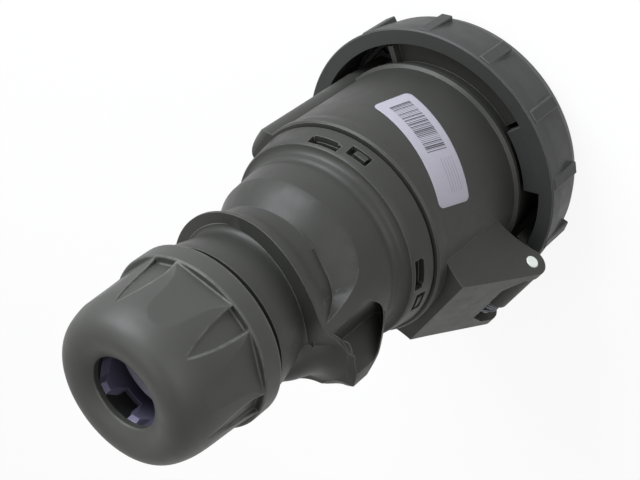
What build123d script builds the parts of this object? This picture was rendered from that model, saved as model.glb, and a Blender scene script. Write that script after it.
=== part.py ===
from build123d import *
from math import asin, atan2, cos, hypot, radians, sin
import os

# Three-phase socket connector, IEC 60309 form, 32 A, five poles, with a bayonet lid.
# Millimetres. The closed lid's flat face is the origin plane, +Z runs along the
# connector to the cable gland, +X points to the keyway and -X to the lid's hinge.

# Clearances
running_gap = 0.08
moving_gap = 0.35
fixed_gap = 0.10

# Contacts
contact_circle_r = 18.0
phase_pin_r = 3.0
earth_pin_r = 4.0
pin_fit = 0.05
sleeve_wall = 1.7
spring_wire = 0.7
sleeve_slot = 0.9
contact_count = 5
pin_stop = 12.5
slot_depth = 18.0
clip_width = 6.0
clip_setback = 3.0
clip_opening = 30.0
pin_hole_gap = 0.6
terminal_wall = 2.9
wire_depth = 19.0
screw_r = 2.0
screw_hole_gap = 0.7
screw_depths = (11.0, 19.0)

# Contact carrier and the plug's annular space round it
carrier_r = 31.3
plug_gap = 3.9
face_recess = 5.0
ledge_depth = 3.0
ledge_width = 5.4
terminal_length = 29.7

# Front housing
shroud_wall = 1.6
barrel_wall = 2.1
barrel_length = 46.3
ridge_rise = 0.9
ridge_length = 1.6
spigot_wall = 2.0
spigot_length = 8.5
notch_front = 4.2
band_rise = 0.5

# Bayonet ramps and the locking ring
ramp_rise = 6.9
ramp_thick = 4.0
ramp_start = 35.0
ramp_sweep = 73.0
far_ramp_trim = 5.0
stop_sweep = 2.5
ring_gap = 0.9
ring_rim = 5.4
ring_width = 23.2
ring_taper = 4.0
ring_front_gap = 0.8
ring_undercut = 0.7
tongue_start = 110.0
tongue_sweep = 31.0
tongue_depth = 5.6
far_tongue_depth = 4.6
tongue_thick = 3.3
rib_count = 13
rib_width = 4.2
rib_rise = 0.15
rib_length = 13.8
rib_setback = 1.7
first_rib = -25.8

# Lid
lid_plate = 3.2
lid_flange = 2.4
lip_thick = 2.2
lid_bead = 2.4
lid_groove = 1.5
gasket_width = 4.8
gasket_thick = 3.3
gasket_overhang = 2.7
lip_play = 0.25
arm_width = 19.0
arm_thick = 3.6

# Keyway bar
key_width = 10.0
key_depth = 4.4
key_wall = 2.4
key_rear_round = 5.0
key_nose_drop = 1.0

# Hinge
pin_offset = 49.3
pin_height = 12.5
pin_r = 2.2
ear_r = 5.0
block_half_width = 17.0
ear_wall = 3.3
block_length = 36.6
block_reach = 40.7
knuckle_r = 4.6
lid_spring_wire = 1.0
lid_spring_turns = 3
spring_side = 5.8
lid_leg_length = 8.8
base_leg_length = 7.5
block_flare = 4.0
flare_start = 43.7
flare_end = 29.5

# Handle
collar_wall = 2.6
collar_length = 8.7
rim_drop = 1.5
valley_drop = 5.2
cone_length = 15.7
cone_r = 29.9
waist_r = 24.0
waist_length = 10.4
flange_length = 11.5
flange_r = 29.2
flange_edge = 0.4
neck_r = 23.7
neck_length = 16.7
neck_flare = 2.7
handle_wall = 2.5
window_count = 4
long_window_start = 65.0
long_window_sweep = 18.0
short_window_start = 81.5
short_window_sweep = 12.5
catch_sweep = 7.0
seal_ring_r = 1.0

# Finger fin under the handle
fin_reach = 40.4
fin_crest = 2.5
fin_half_tip = 6.4
fin_web = 3.5
fin_wall = 1.5
fin_front_wall = 1.9
fin_root = 27.6
gusset_x = 21.0

# Cable gland
thread_r = 23.9
thread_length = 14.0
nut_gap = 2.3
nut_body_wall = 4.1
nut_collar_rise = 0.6
nut_collar_length = 7.4
nut_length = 36.9
nut_flat_drop = 1.8
nut_mouth_r = 11.6
mouth_depth = 2.6
mouth_wall = 2.2
cone_lip = 1.6
spigot_wall_r = 3.3
leaf_width = 8.0
leaf_length = 21.5
leaf_floor_drop = 2.0
facet_turn = 15.0
facet_count = 6
cage_wall = 2.6
cage_tip_wall = 1.4
cage_fingers = 6
finger_slot = 6.2
finger_bevel = 1.5
finger_length = 9.6
seal_bore_r = 13.2
seal_seat = 10.0
seal_nose = 5.5
cage_gap = 0.3

# Levels along the connector, front to rear
gasket_rear = lid_plate + gasket_thick
shroud_front = gasket_rear + fixed_gap
face_z = shroud_front + face_recess
rim_z = ring_front_gap + ring_width
ridge_z = rim_z + 1.3
barrel_rear = ridge_z + barrel_length + ridge_length
joint_z = barrel_rear + 0.6
spigot_rear = joint_z + spigot_length
terminal_z = spigot_rear - terminal_length
ledge_z = terminal_z - ledge_depth
pin_z = rim_z + pin_height
ear_front = pin_z - ear_r
block_rear = ear_front + block_length
collar_rear = joint_z + collar_length
cone_rear = collar_rear + cone_length
waist_z = cone_rear + waist_length
flange_rear = waist_z + flange_length
neck_rear = flange_rear + neck_length
nut_front = neck_rear + nut_gap
nut_rear = nut_front + nut_length
thread_rear = neck_rear + thread_length

# Radii, inside to outside
shroud_bore_r = carrier_r + plug_gap
shroud_r = shroud_bore_r + shroud_wall
barrel_r = shroud_bore_r + barrel_wall
ridge_r = barrel_r + ridge_rise
ramp_r = shroud_r + ramp_rise
ring_bore_r = ramp_r + ring_gap
ring_r = ring_bore_r + ring_rim
lid_r = ring_bore_r - 0.4
groove_r = lid_r - lid_groove
ledge_bore_r = shroud_bore_r - ledge_width
rear_bore_r = carrier_r + 0.3
spigot_r = rear_bore_r + spigot_wall
collar_bore_r = spigot_r + fixed_gap
collar_r = collar_bore_r + collar_wall
valley_r = collar_r - valley_drop
valley_floor_r = valley_r - 0.25
key_floor_r = shroud_bore_r + key_depth
key_crest_r = key_floor_r + key_wall
key_nose_r = key_crest_r - key_nose_drop
nut_bore_r = thread_r + running_gap
nut_body_r = thread_r + nut_body_wall
nut_collar_r = nut_body_r + nut_collar_rise
spigot_bore_r = thread_r - spigot_wall_r
sleeve_front = face_z + 2.5
cone_start = thread_rear + 3.0
cone_end = nut_rear - mouth_depth - mouth_wall


def turned(*outline):
    """Solid of revolution about Z from (radius, height) corners."""
    edges = Polyline(*[(r, 0, z) for r, z in outline], close=True)
    return revolve(make_face(edges), Axis.Z)


def lathe(*runs):
    """Solid of revolution: a run of two corners is a straight line, a longer run a smooth curve."""
    edges = []
    for run, after in zip(runs, runs[1:] + runs[:1]):
        corners = [(r, 0, z) for r, z in run]
        edges.append(Spline(*corners) if len(corners) > 2 else Line(*corners))
        if run[-1] != after[0]:
            edges.append(Line(corners[-1], (after[0][0], 0, after[0][1])))
    return revolve(make_face(edges), Axis.Z)


def tube(outer, inner, low, high):
    return turned((inner, low), (outer, low), (outer, high), (inner, high))


def rod(r, start, direction, length):
    return Plane(origin=start, z_dir=direction) * Cylinder(
        r, length, align=(Align.CENTER, Align.CENTER, Align.MIN)
    )


def block(x0, x1, y0, y1, z0, z1):
    return Pos(x0, y0, z0) * Box(
        x1 - x0, y1 - y0, z1 - z0, align=(Align.MIN, Align.MIN, Align.MIN)
    )


def sector(outer, inner, low, high, start, sweep):
    """Part of a ring between two angles, in degrees about Z."""
    outline = Polyline((inner, 0, low), (outer, 0, low), (outer, 0, high), (inner, 0, high), close=True)
    return Rot(0, 0, start) * revolve(make_face(outline), Axis.Z, sweep)


def side_plate(outline, half_width):
    """Plate in the XZ plane, as thick as twice half_width."""
    face = make_face(Polyline(*[(x, 0, z) for x, z in outline], close=True))
    return extrude(face, half_width, dir=(0, 1, 0), both=True)


def soft_plate(curve, corners, half_width):
    """Plate in the XZ plane with one smooth edge through curve and straight edges along corners."""
    smooth = Spline(*[(x, 0, z) for x, z in curve])
    straight = Polyline(*[(x, 0, z) for x, z in (curve[-1], *corners, curve[0])])
    return extrude(make_face(smooth + straight), half_width, dir=(0, 1, 0), both=True)


def polar(r, angle, z=0.0):
    return (r * cos(radians(angle)), r * sin(radians(angle)), z)


def contact_places():
    """Name, angle and pin radius of each contact; earth lies at the keyway."""
    names = ("pe", "l1", "l2", "l3", "n")
    step = 360.0 / contact_count
    return [(name, -step * k, earth_pin_r if name == "pe" else phase_pin_r) for k, name in enumerate(names)]


# Front housing
slope_angle = atan2(pin_offset - block_reach, block_rear - pin_z) + asin(
    ear_r / hypot(pin_offset - block_reach, block_rear - pin_z)
)


def hinge_block():
    """Solid block on the barrel that carries the ears, flared towards the barrel."""
    tangent = (-pin_offset - ear_r * cos(slope_angle), pin_z + ear_r * sin(slope_angle))
    front_root = (-shroud_bore_r + 4, ear_front + 1.35 * ear_r)
    front_angle = asin(ear_r / hypot(pin_offset + front_root[0], front_root[1] - pin_z)) - atan2(
        front_root[1] - pin_z, pin_offset + front_root[0]
    )
    outline = [
        front_root,
        (-pin_offset + ear_r * sin(front_angle), pin_z - ear_r * cos(front_angle)),
        (-pin_offset, pin_z),
        tangent,
        (-block_reach, block_rear),
        (-shroud_bore_r + 10, block_rear),
    ]
    wide = block_half_width + block_flare
    ears = side_plate(outline, wide + 1)
    eye = rod(ear_r, (-pin_offset, -wide, pin_z), (0, 1, 0), 2 * wide)
    bend = (-(flare_start + flare_end) / 2, block_half_width + 0.3 * block_flare)
    near = ThreePointArc((-flare_start, block_half_width), bend, (-flare_end, wide))
    far = ThreePointArc((-flare_end, -wide), (bend[0], -bend[1]), (-flare_start, -block_half_width))
    back = Polyline((-flare_end, wide), (0, wide), (0, -wide), (-flare_end, -wide))
    reach = -pin_offset - 2 * ear_r
    front = Polyline(
        (-flare_start, -block_half_width),
        (reach, -block_half_width),
        (reach, block_half_width),
        (-flare_start, block_half_width),
    )
    plan = extrude(Pos(0, 0, ear_front - 5) * make_face(near + back + far + front), block_length + 10)
    return (ears + eye) & plan


def hinge_slot():
    """Room between the ears for the lid's knuckle, with bevelled rear corners."""
    half = block_half_width - ear_wall
    rear = pin_z + 2.35 * ear_r
    bevel = 4.6
    outline = Polyline(
        (ear_front - 1, -half),
        (rear - bevel * 1.3, -half),
        (rear, -half + bevel),
        (rear, half - bevel),
        (rear - bevel * 1.3, half),
        (ear_front - 1, half),
        close=True,
    )
    face = Plane(origin=(0, 0, 0), x_dir=(0, 0, 1), z_dir=(-1, 0, 0)) * make_face(outline)
    prism = extrude(face, pin_offset + 3 * ear_r, dir=(-1, 0, 0))
    return prism - Cylinder(ridge_r + moving_gap, 3 * block_rear)


def keyway_bar():
    """Round-backed bar outside the groove for the plug's key."""
    half = key_width / 2 + key_wall
    flat_r = key_crest_r - half
    root_r = barrel_r - 4
    outline = Polyline((root_r, -half), (flat_r, -half), (flat_r, half), (root_r, half), close=True)
    section = make_face(outline) + Pos(flat_r, 0) * Circle(half)
    bar = extrude(Pos(0, 0, shroud_front) * section, barrel_rear - shroud_front)
    crest = key_crest_r - barrel_r
    rear_curve = [
        (key_crest_r + 0.2, barrel_rear - key_rear_round),
        (key_crest_r - 0.12 * crest, barrel_rear - 0.5 * key_rear_round),
        (key_crest_r - 0.42 * crest, barrel_rear - 0.15 * key_rear_round),
        (key_crest_r - crest, barrel_rear + 0.1),
    ]
    far = key_crest_r + 5
    bar -= soft_plate(rear_curve, [(far, barrel_rear + 0.1), (far, barrel_rear - key_rear_round)], half + 1)
    nose = side_plate(
        [
            (key_floor_r + 0.6, shroud_front - 1),
            (key_floor_r + 0.6, shroud_front),
            (key_nose_r, shroud_front + 3.5),
            (key_nose_r, rim_z - 2),
            (key_crest_r + 5, rim_z - 2),
            (key_crest_r + 5, shroud_front - 1),
        ],
        half + 1,
    )
    return bar - nose


def quarter_sectors(outer, inner, low, high, start, sweep):
    """The same part of a ring at each quarter of the collar."""
    step = 360.0 / window_count
    return [sector(outer, inner, low, high, start - step * k, sweep) for k in range(window_count)]


def collar_windows():
    """Windows of the collar: a long slot with slanted ends and a short one, at each quarter."""
    inner, outer = collar_bore_r - 1, collar_r + 1
    front = joint_z + notch_front
    start, sweep = -long_window_start, long_window_sweep
    windows = quarter_sectors(outer, inner, front + 0.6, collar_rear - 0.7, start, sweep)
    windows += quarter_sectors(outer, inner, front, front + 1.2, start + 2.5, sweep - 3.5)
    front, rear, start = joint_z + 2.5, joint_z + 6.5, -short_window_start
    windows += quarter_sectors(outer, inner, front, rear, start, short_window_sweep)
    return windows


def front_housing():
    ramp_front = rim_z - 4.0 - ramp_thick
    body = turned(
        (shroud_bore_r, shroud_front),
        (shroud_r - 0.65, shroud_front),
        (shroud_r, shroud_front + 2.5),
        (shroud_r, ridge_z - ridge_length * 0.8),
        (ridge_r, ridge_z - ridge_length * 0.4),
        (ridge_r, ridge_z + ridge_length * 0.4),
        (barrel_r, ridge_z + ridge_length),
        (barrel_r, barrel_rear - 6.0),
        (barrel_r + band_rise, barrel_rear - 3.2),
        (barrel_r + band_rise, barrel_rear - 0.7),
        (barrel_r, barrel_rear),
        (spigot_r, barrel_rear),
        (spigot_r, spigot_rear),
        (rear_bore_r, spigot_rear),
        (rear_bore_r, terminal_z),
        (ledge_bore_r, terminal_z),
        (ledge_bore_r, ledge_z),
        (shroud_bore_r, ledge_z),
    )
    for turn, trim in ((0, 0), (180, far_ramp_trim)):
        last = -ramp_start + turn
        ramp = turned(
            (shroud_r - 0.5, ramp_front),
            (ramp_r - 0.6, ramp_front),
            (ramp_r, ramp_front + ramp_thick * 0.6),
            (ramp_r, ramp_front + ramp_thick),
            (shroud_r - 0.5, ramp_front + ramp_thick),
        )
        low, high = ramp_front - 1, ramp_front + ramp_thick + 1
        sweep_kept = ramp_sweep - trim
        keep = sector(ramp_r + 5, shroud_r - 0.8, low, high, last - sweep_kept, sweep_kept)
        stop = sector(ramp_r, shroud_r - 0.5, ramp_front, rim_z - 0.5, last - stop_sweep, stop_sweep)
        body += (ramp & keep) + stop
    core = Cylinder(shroud_bore_r + 0.4, 4 * block_rear)
    body += hinge_block() - core
    body -= hinge_slot()
    reach = block_half_width + 1
    body -= rod(pin_r + running_gap, (-pin_offset, -reach, pin_z), (0, 1, 0), 2 * reach)
    body += keyway_bar() - core
    half = key_width / 2
    body -= block(carrier_r, key_floor_r, -half, half, shroud_front - 1, ledge_z)
    groove_z = joint_z + 0.2
    body -= tube(spigot_r + 1, spigot_r - 1.2 * seal_ring_r, groove_z, groove_z + 2.2 * seal_ring_r)
    front, rear = joint_z + notch_front + 0.3, spigot_rear + 1
    start, sweep = -long_window_start - 0.5, long_window_sweep + 1.0
    for notch in quarter_sectors(spigot_r + 1, rear_bore_r - 1, front, rear, start, sweep):
        body -= notch
    front, rear = joint_z + 2.8, joint_z + 5.0
    start = -short_window_start + 2.0
    for catch in quarter_sectors(collar_r - 0.9, spigot_r - 0.4, front, rear, start, catch_sweep):
        body += catch
    return body


def handle_seal():
    centre = joint_z + 0.2 + 1.1 * seal_ring_r
    ring_centre_r = spigot_r - 1.2 * seal_ring_r + seal_ring_r
    squeezed = Torus(ring_centre_r + 0.02, seal_ring_r - 0.03)
    limit = tube(collar_bore_r - 0.02, spigot_r - 1.2 * seal_ring_r, -3, 3)
    return Pos(0, 0, centre) * (squeezed & limit)


# Handle
def handle_profile_body():
    """Outer body of the handle without the finger waist: collar with a crisp rim, valley, bead and cone."""
    return lathe(
        [(0, joint_z), (collar_r - 0.3, joint_z)],
        [(collar_r, joint_z + 0.3), (collar_r - rim_drop, collar_rear)],
        [
            (collar_r - rim_drop - 0.35, collar_rear + 0.45),
            (collar_r - rim_drop - 1.6, collar_rear + 0.75),
            (valley_r + 1.0, collar_rear + 1.5),
            (valley_r + 0.55, collar_rear + 2.6),
            (valley_r + 0.3, collar_rear + 3.6),
            (valley_r - 0.2, collar_rear + 4.5),
            (valley_floor_r, collar_rear + 6.0),
            (cone_r + 0.7, collar_rear + 10.0),
            (cone_r, cone_rear),
            (cone_r - 0.45, waist_z - 4.0),
            (flange_r, waist_z + 1.5),
        ],
        [(flange_r, waist_z + 1.5), (flange_r, flange_rear + 3.3)],
        [(flange_r, flange_rear + 3.3), (0, flange_rear + 3.3)],
    )


def neck():
    """Neck and threaded spigot behind the flange."""
    return lathe(
        [(0, waist_z), (neck_r + 1.9, waist_z)],
        [
            (neck_r + 1.9, flange_rear + 0.3),
            (neck_r + 0.5, flange_rear + 0.9),
            (neck_r, flange_rear + 2.0),
            (neck_r + 0.4, flange_rear + 5.0),
            (neck_r + 0.6 * neck_flare, flange_rear + 10.0),
            (neck_r + neck_flare, neck_rear),
        ],
        [(thread_r, neck_rear), (thread_r, thread_rear)],
        [(thread_r, thread_rear), (0, thread_rear)],
    )


def gusset():
    """Round fillet between the neck and the back of the fin."""
    curve = [
        (2.0, 13.5),
        (4.3, 10.3),
        (6.9, 5.0),
        (8.0, 1.4),
        (9.3, -1.9),
        (11.1, -4.4),
        (13.4, -6.2),
        (15.5, -7.4),
    ]
    points = [(r, flange_rear + rise) for r, rise in curve]
    top, bottom = [(0, points[0][1]), points[0]], [(points[-1][0], waist_z + 1), (0, waist_z + 1)]
    return Pos(-gusset_x, 0, 0) * lathe(top, points, bottom)


def flange_wave():
    """Rear line of the flange and fin, seen from the side."""
    heights = [
        (flange_r + 9, -0.4),
        (flange_r - 3, 0.0),
        (10, 0.8),
        (-4, 2.2),
        (-14, 2.6),
        (-23, 0.6),
        (-27.5, -4.4),
        (-33.0, -6.6),
        (-fin_reach - 4, -7.1),
    ]
    return Spline(*[(x, 0, flange_rear + rise) for x, rise in heights])


def wave_height(wave, x):
    """Height of the wave at a given x, found by halving."""
    low, high = 0.0, 1.0
    for _ in range(24):
        middle = (low + high) / 2
        if (wave @ middle).X > x:
            low = middle
        else:
            high = middle
    return (wave @ low).Z


def between(table, angle):
    """Values at an angle, straight between the rows of a table."""
    for (a, *start), (b, *end) in zip(table, table[1:]):
        if angle <= b:
            share = (angle - a) / (b - a)
            return [u + share * (v - u) for u, v in zip(start, end)]
    return list(table[-1][1:])


def waist_cutter():
    """Groove for the fingers: it keeps one section over the top and fades out towards the fin."""
    full = (cone_r, cone_rear, waist_r, waist_z)
    fade = [
        (0, *full),
        (98, *full),
        (108, cone_r, cone_rear + 0.5, waist_r, waist_z),
        (117, cone_r - 0.1, cone_rear + 1.5, waist_r + 0.1, waist_z + 0.1),
        (125, cone_r - 0.15, cone_rear + 3.0, waist_r + 0.3, waist_z + 0.3),
        (131, cone_r - 0.3, cone_rear + 6.0, waist_r + 0.7, waist_z + 1.0),
        (135.5, cone_r - 0.5, cone_rear + 10.4, waist_r + 1.6, waist_z + 2.6),
        (138.3, cone_r - 0.6, cone_rear + 15.0, waist_r + 3.0, waist_z + 5.6),
        (140, cone_r - 0.6, cone_rear + 19.2, waist_r + 4.8, waist_z + 9.4),
        (141, cone_r - 0.4, cone_rear + 21.8, waist_r + 5.6, waist_z + 11.6),
    ]
    wave = flange_wave()
    turns = [141, 140, 138.3, 135.5, 131, 125, 117, 108, 98, 84, 70, 56, 42, 28, 14]
    far = flange_r + 9
    sections = []
    for turn in turns + [0] + [-t for t in reversed(turns)]:
        edge_r, edge_z, floor_r, floor_z = between(fade, abs(turn))
        rim = flange_r + 0.2
        rim_height = max(wave_height(wave, rim * cos(radians(turn))) - flange_edge, floor_z + 0.4)
        over_r = edge_r + 0.15 * (edge_r - floor_r) + 0.1
        over_z = edge_z + 0.15 * (edge_z - floor_z) - 0.1
        outline = Polyline(
            (over_r, 0, over_z),
            (floor_r, 0, floor_z),
            (rim, 0, rim_height),
            (far, 0, rim_height + 1),
            (far, 0, over_z),
            close=True,
        )
        sections.append(Rot(0, 0, turn) * make_face(outline))
    return loft(sections)


def flange_top():
    """Space behind the flange and the fin."""
    wave = flange_wave()
    start, end = wave @ 0, wave @ 1
    top = flange_rear + 40
    closing = Polyline((end.X, 0, end.Z), (end.X, 0, top), (start.X, 0, top), (start.X, 0, start.Z))
    return extrude(make_face(wave + closing), flange_r + 20, dir=(0, 1, 0), both=True)


def fin_hull(grow=0.0):
    """Bow-shaped body of the fin; grow widens it and moves its front back for the pocket inside."""
    stations = (
        (17.0, 21.0, -16.0, -1.5),
        (25.8, 14.0, -12.5, 0.8),
        (31.9, 10.0, -9.2, 1.8),
        (36.2, 8.0, -2.8, 6.3),
        (37.9, 6.6, 0.5, 13.0),
        (41.5, 5.2, 11.0, 16.5),
    )
    sections = []
    for reach, half, nose, side in stations:
        wide = half + 1.5 * grow
        nose_z = cone_rear + nose + grow
        side_z = nose_z + (side - nose) * (wide / half) ** 2
        near, far = (-reach, -wide, side_z), (-reach, wide, side_z)
        bow = ThreePointArc(near, (-reach, 0, nose_z), far)
        rear_z = flange_rear + 15
        rest = Polyline(far, (-reach, wide, rear_z), (-reach, -wide, rear_z), near)
        sections.append(make_face(bow + rest))
    return loft(sections)


def fin():
    corner = fin_reach - fin_crest
    wide = flange_r
    near, far = (-corner, -fin_half_tip), (-corner, fin_half_tip)
    tip = ThreePointArc(far, (-fin_reach, 0), near)
    rest = Polyline(near, (-corner, -wide), (0, -wide), (0, wide), (-corner, wide), far)
    plan = Pos(0, 0, collar_rear) * make_face(tip + rest)
    return fin_hull() & extrude(plan, flange_rear - collar_rear + 20)


def fin_pocket():
    """Pocket in the fin's side, open to -Y, with a leaning root wall; its twin is the mirror image."""
    deep = 3 * fin_half_tip
    plan = Polyline(
        (-fin_root, -fin_web),
        (-fin_root + 0.21 * (deep - fin_web), -deep),
        (-fin_reach + fin_wall, -deep),
        (-fin_reach + fin_wall, -fin_web),
        close=True,
    )
    room = extrude(Pos(0, 0, collar_rear + 6) * make_face(plan), flange_rear - collar_rear)
    rear_wall = Pos(0, 0, -fin_wall) * flange_top()
    return (fin_hull(fin_front_wall) & room) - rear_wall - handle_cavity(0.8)


def handle_cavity(wall=handle_wall):
    """Inside of the handle; a smaller wall gives the space that its pockets stay out of."""
    throat_r = waist_r - handle_wall - 2.0
    front_r = min(cone_r, valley_floor_r) - wall
    return turned(
        (0, joint_z - 1),
        (collar_bore_r, joint_z - 1),
        (collar_bore_r, spigot_rear + fixed_gap),
        (front_r, spigot_rear + fixed_gap),
        (front_r, collar_rear + 5.5),
        (waist_r - wall, collar_rear + 14.0),
        (waist_r - wall, flange_rear),
        (throat_r, flange_rear + 4.0),
        (throat_r, flange_rear + seal_seat),
        (spigot_bore_r, flange_rear + seal_seat),
        (spigot_bore_r, thread_rear + 1),
        (0, thread_rear + 1),
    )


def handle():
    body = handle_profile_body() - waist_cutter() + fin()
    body = body - flange_top() + gusset() + neck()
    pocket = fin_pocket()
    body -= pocket
    body -= mirror(pocket, Plane.XZ)
    body -= handle_cavity()
    for window in collar_windows():
        body -= window
    return body


# Contacts and their carrier
def contact_carrier():
    """Insulating body with a narrow hole and, behind it, a wide pocket for each contact."""
    body = turned(
        (0, face_z),
        (carrier_r, face_z),
        (carrier_r, ledge_z),
        (ledge_bore_r - fixed_gap, ledge_z),
        (ledge_bore_r - fixed_gap, terminal_z),
        (0, terminal_z),
    )
    for _, angle, pin in contact_places():
        place = polar(contact_circle_r, angle, face_z - 1)
        body -= rod(pin + pin_hole_gap, place, (0, 0, 1), terminal_z)
        place = polar(contact_circle_r, angle, sleeve_front - 0.3)
        body -= rod(pin + sleeve_wall + spring_wire + fixed_gap, place, (0, 0, 1), terminal_z)
    return body


def terminal_block():
    """Insulating block behind the ledge; screws reach the terminals from its side."""
    body = turned((0, terminal_z), (carrier_r, terminal_z), (carrier_r, spigot_rear), (0, spigot_rear))
    for _, angle, pin in contact_places():
        place = polar(contact_circle_r, angle, terminal_z - 1)
        body -= rod(pin + terminal_wall + fixed_gap, place, (0, 0, 1), spigot_rear)
        for depth in screw_depths:
            start = polar(contact_circle_r, angle, terminal_z + depth)
            body -= rod(screw_r + screw_hole_gap, start, polar(1, angle), carrier_r)
    return body


def sleeve(angle, pin):
    """Turned contact sleeve: slotted spring end in front, wire bore with two screws behind."""
    tip_r = pin + sleeve_wall
    rear = spigot_rear - 1.0
    body = turned(
        (pin + pin_fit, sleeve_front),
        (tip_r - 0.6, sleeve_front),
        (tip_r, sleeve_front + 0.8),
        (tip_r, terminal_z + fixed_gap),
        (pin + terminal_wall, terminal_z + fixed_gap),
        (pin + terminal_wall, rear),
        (pin + pin_fit + 0.3, rear),
        (pin + pin_fit + 0.3, rear - wire_depth),
        (0, rear - wire_depth),
        (0, terminal_z - pin_stop),
        (pin + pin_fit, terminal_z - pin_stop),
    )
    reach, half, slot_rear = tip_r + 1, sleeve_slot / 2, sleeve_front + slot_depth
    for turn in (45, 135):
        body -= Rot(0, 0, turn) * block(-reach, reach, -half, half, sleeve_front - 1, slot_rear)
    for depth in screw_depths:
        body -= rod(screw_r + 0.05, (0, 0, terminal_z + depth), (1, 0, 0), 3 * pin)
    return Pos(*polar(contact_circle_r, angle)) * Rot(0, 0, angle) * body


def sleeve_spring(angle, pin):
    """Open clip ring that closes the slotted end of a sleeve."""
    low, inner, sweep = sleeve_front + clip_setback, pin + sleeve_wall + 0.02, 360 - clip_opening
    clip = sector(inner + spring_wire - 0.02, inner, low, low + clip_width, clip_opening / 2, sweep)
    return Pos(*polar(contact_circle_r, angle)) * Rot(0, 0, angle) * clip


def terminal_screws():
    screws = []
    for _, angle, pin in contact_places():
        for depth in screw_depths:
            start = polar(contact_circle_r + 0.55 * pin, angle, terminal_z + depth)
            shank = rod(screw_r, start, polar(1, angle), 0.45 * pin + terminal_wall + 1.8)
            head = polar(contact_circle_r + pin + terminal_wall + 1.6, angle, terminal_z + depth)
            slot = Plane(origin=head, z_dir=polar(1, angle)) * Box(0.7, 3 * screw_r, 1.6)
            screws.append(shank - slot)
    return Compound(children=screws)


# Lid, its seal and the bayonet ring
def lid():
    groove_rear = lid_flange + lip_thick + 2 * lip_play
    bead_rear = groove_rear + lid_bead
    seal_r = shroud_r + gasket_overhang
    body = turned(
        (0, 0),
        (lid_r - 1.2, 0),
        (lid_r, 1.2),
        (lid_r, lid_flange),
        (groove_r, lid_flange),
        (groove_r, groove_rear),
        (lid_r - 0.2, groove_rear),
        (lid_r - 0.2, bead_rear - 0.8),
        (lid_r - 0.8, bead_rear),
        (lid_r - 2.2, bead_rear),
        (lid_r - 2.2, groove_rear + 0.2),
        (seal_r + fixed_gap, groove_rear + 0.2),
        (seal_r + fixed_gap, lid_plate),
        (0, lid_plate),
    )
    half = key_width / 2 + key_wall
    body -= block(seal_r - 2, key_nose_r + 0.4, -half - 0.5, half + 0.5, lid_plate, bead_rear + 1)
    arm_r = lid_r - arm_thick
    arm = tube(lid_r - 0.1, arm_r, groove_rear + 0.1, rim_z + 0.8)
    arm &= block(-lid_r, 0, -arm_width / 2, arm_width / 2, 0, rim_z + 2)
    side = [
        (-arm_r, rim_z + 0.3),
        (-arm_r, rim_z + 6.5),
        (-pin_offset + 0.65 * knuckle_r, pin_z + 0.7 * knuckle_r),
        (-pin_offset, pin_z),
        (-pin_offset - 0.7 * knuckle_r, pin_z - 0.65 * knuckle_r),
        (-pin_offset + 1.8, rim_z + 0.3),
    ]
    arm += side_plate(side, arm_width / 2)
    knuckle_half = block_half_width - ear_wall - moving_gap
    arm -= rod(knuckle_r + 6, (-pin_offset, spring_side, pin_z), (0, 1, 0), arm_width)
    arm += rod(knuckle_r, (-pin_offset, -knuckle_half, pin_z), (0, 1, 0), knuckle_half + spring_side)
    reach = block_half_width
    arm -= rod(pin_r + running_gap, (-pin_offset, -reach, pin_z), (0, 1, 0), 2 * reach)
    return body + arm


def lid_gasket():
    half = key_width / 2 + key_wall
    seal_r = shroud_r + gasket_overhang
    body = tube(seal_r, seal_r - gasket_width, lid_plate, gasket_rear)
    half += 0.2
    return body + block(seal_r - 2, key_nose_r + 0.2, -half, half, lid_plate, gasket_rear)


def bayonet_ring():
    """Locking ring: tapered grip, ribs of constant reach, inner lip and two bayonet tongues."""
    lip_front = lid_flange + lip_play
    lip_rear = lip_front + lip_thick
    body = turned(
        (lid_r + 0.3, ring_front_gap),
        (ring_r - ring_taper - 0.9, ring_front_gap),
        (ring_r - ring_taper, ring_front_gap + 1.2),
        (ring_r - 0.6 * ring_taper, ring_front_gap + 5.0),
        (ring_r - 0.12 * ring_taper, rim_z - 6.0),
        (ring_r, rim_z - 0.5),
        (ring_r - 0.4, rim_z),
        (ring_bore_r, rim_z),
        (ring_bore_r, rim_z - 4.4),
        (ring_bore_r + ring_undercut, rim_z - 5.1),
        (ring_bore_r + ring_undercut, lip_rear),
        (groove_r + 0.25, lip_rear),
        (groove_r + 0.25, lip_front),
        (lid_r + 0.3, lip_front),
    )
    rib_outer, half = ring_r + rib_rise, rib_width / 2
    rib_section = Polyline(
        (rib_outer - 4.0, -half - 0.1, 0),
        (rib_outer - 0.3, -half - 0.1, 0),
        (rib_outer, -half + 0.3, 0),
        (rib_outer, half - 0.3, 0),
        (rib_outer - 0.3, half + 0.1, 0),
        (rib_outer - 4.0, half + 0.1, 0),
        close=True,
    )
    rib = extrude(Pos(0, 0, rim_z - rib_setback - rib_length) * make_face(rib_section), rib_length)
    for k in range(rib_count):
        body += Rot(0, 0, first_rib - 360.0 / rib_count * k) * rib
    tongue_rear = rim_z - 0.02
    for turn, depth in ((0, tongue_depth), (180, far_tongue_depth)):
        body += sector(
            ring_bore_r + 0.4,
            ring_bore_r - depth,
            tongue_rear - tongue_thick,
            tongue_rear,
            turn - tongue_start - tongue_sweep,
            tongue_sweep,
        )
    return body


def hinge_pin():
    length = 2 * block_half_width
    body = rod(pin_r, (-pin_offset, -length / 2 - 0.2, pin_z), (0, 1, 0), length + 0.4)
    return chamfer(body.edges().filter_by(GeomType.CIRCLE), 0.3)


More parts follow.
